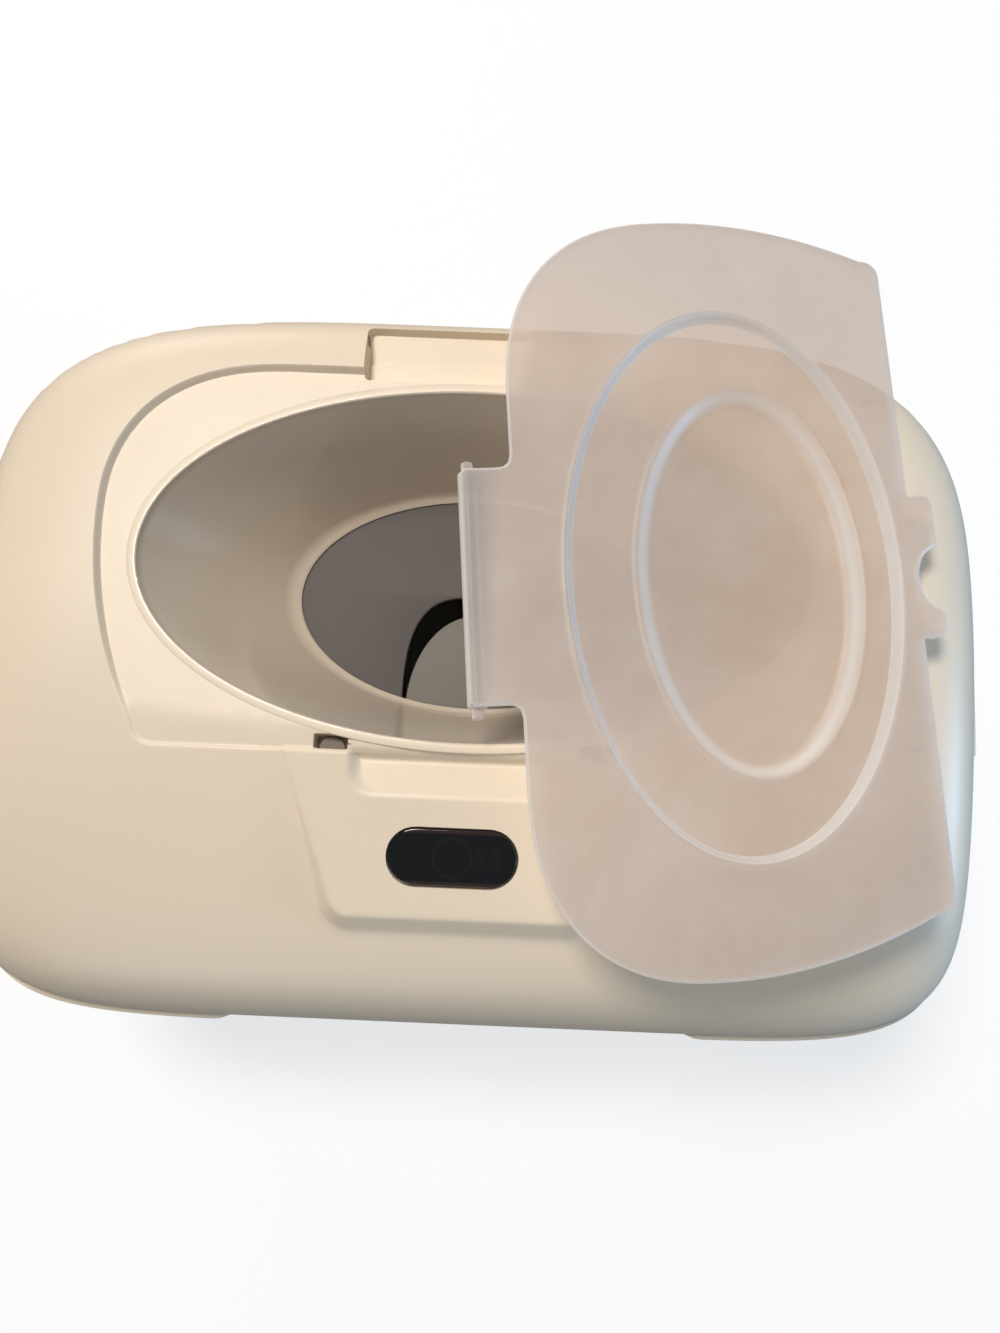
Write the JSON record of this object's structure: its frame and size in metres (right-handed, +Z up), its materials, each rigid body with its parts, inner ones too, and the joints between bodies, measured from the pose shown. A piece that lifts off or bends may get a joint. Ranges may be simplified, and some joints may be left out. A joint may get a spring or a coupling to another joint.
{
  "type": "baby wipe warmer",
  "caption": "Soft rounded box with a lift-out wipe tub, and a lift-off heated cover with an oval funnel, a slotted plate, a display and a translucent flip lid laid on top.",
  "frame": {"origin": "on the floor under the middle of the body", "axes": "+X to the right as seen from the front, +Y to the back, +Z up"},
  "size_m": [0.2374, 0.1806, 0.146],
  "materials": {
    "ivory_plastic": "satin moulded plastic, fine spark texture",
    "foot_rubber": "matte",
    "tub_plastic": "satin moulded plastic",
    "pearl_plastic": "glossy moulded plastic",
    "plate_plastic": "matte lavender grey",
    "liner_plastic": "satin moulded plastic",
    "seal_rubber": "matte silicone",
    "spreader_aluminium": "rolled sheet",
    "heater_film": "polyimide film",
    "foam": "soft closed-cell foam",
    "black_plastic": "moulded",
    "plain_steel": "plain zinc finish",
    "board_green": "solder mask",
    "led_plastic": "moulded",
    "brass": "plain",
    "window_black": "polished smoked window",
    "lead_black": "insulation",
    "lead_red": "insulation",
    "post_plastic": "moulded, in shade",
    "lid_frost": "translucent smoky frosted plastic"
  },
  "bodies": {
    "base": {"base_shell": "ivory_plastic", "rubber_feet": "foot_rubber", "wipe_tub": "tub_plastic"},
    "cover": {"cover_shell": "ivory_plastic", "funnel": "pearl_plastic", "dispensing_plate": "plate_plastic", "liner_pan": "liner_plastic", "liner_seal": "seal_rubber", "heat_spreader": "spreader_aluminium", "heater_film": "heater_film", "insulation_foam": "foam", "temperature_sensor": "black_plastic", "thermal_fuse": "plain_steel", "control_board": "board_green", "control_chip": "black_plastic", "buzzer": "black_plastic", "led_module": "led_plastic", "touch_contact": "brass", "display_window": "window_black", "power_socket": "black_plastic", "socket_nut": "plain_steel", "power_lead": "lead_black", "heater_lead": "lead_red", "liner_screws": "plain_steel", "board_screws": "plain_steel", "catch_posts": "post_plastic", "left_latch_spring": "plain_steel", "right_latch_spring": "plain_steel"},
    "lid": {"flip_lid": "lid_frost"},
    "left_latch": {"left_latch_button": "pearl_plastic"},
    "right_latch": {"right_latch_button": "pearl_plastic"}
  },
  "joints": [
    {"name": "cover_lift", "type": "slide", "parent": "base", "child": "cover", "axis": [0, 0, 1], "range_m": [0, 0.15]},
    {"name": "lid_lift", "type": "slide", "parent": "cover", "child": "lid", "axis": [0, 0, 1], "range_m": [0, 0.1]},
    {"name": "left_latch_press", "type": "slide", "parent": "cover", "child": "left_latch", "axis": [1, 0, 0], "range_m": [0, 0.002], "stiffness_N_per_m": 300, "springref_m": -0.002, "deforming": ["left_latch_spring"]},
    {"name": "right_latch_press", "type": "slide", "parent": "cover", "child": "right_latch", "axis": [-1, 0, 0], "range_m": [0, 0.002], "stiffness_N_per_m": 300, "springref_m": -0.002, "deforming": ["right_latch_spring"]}
  ]
}
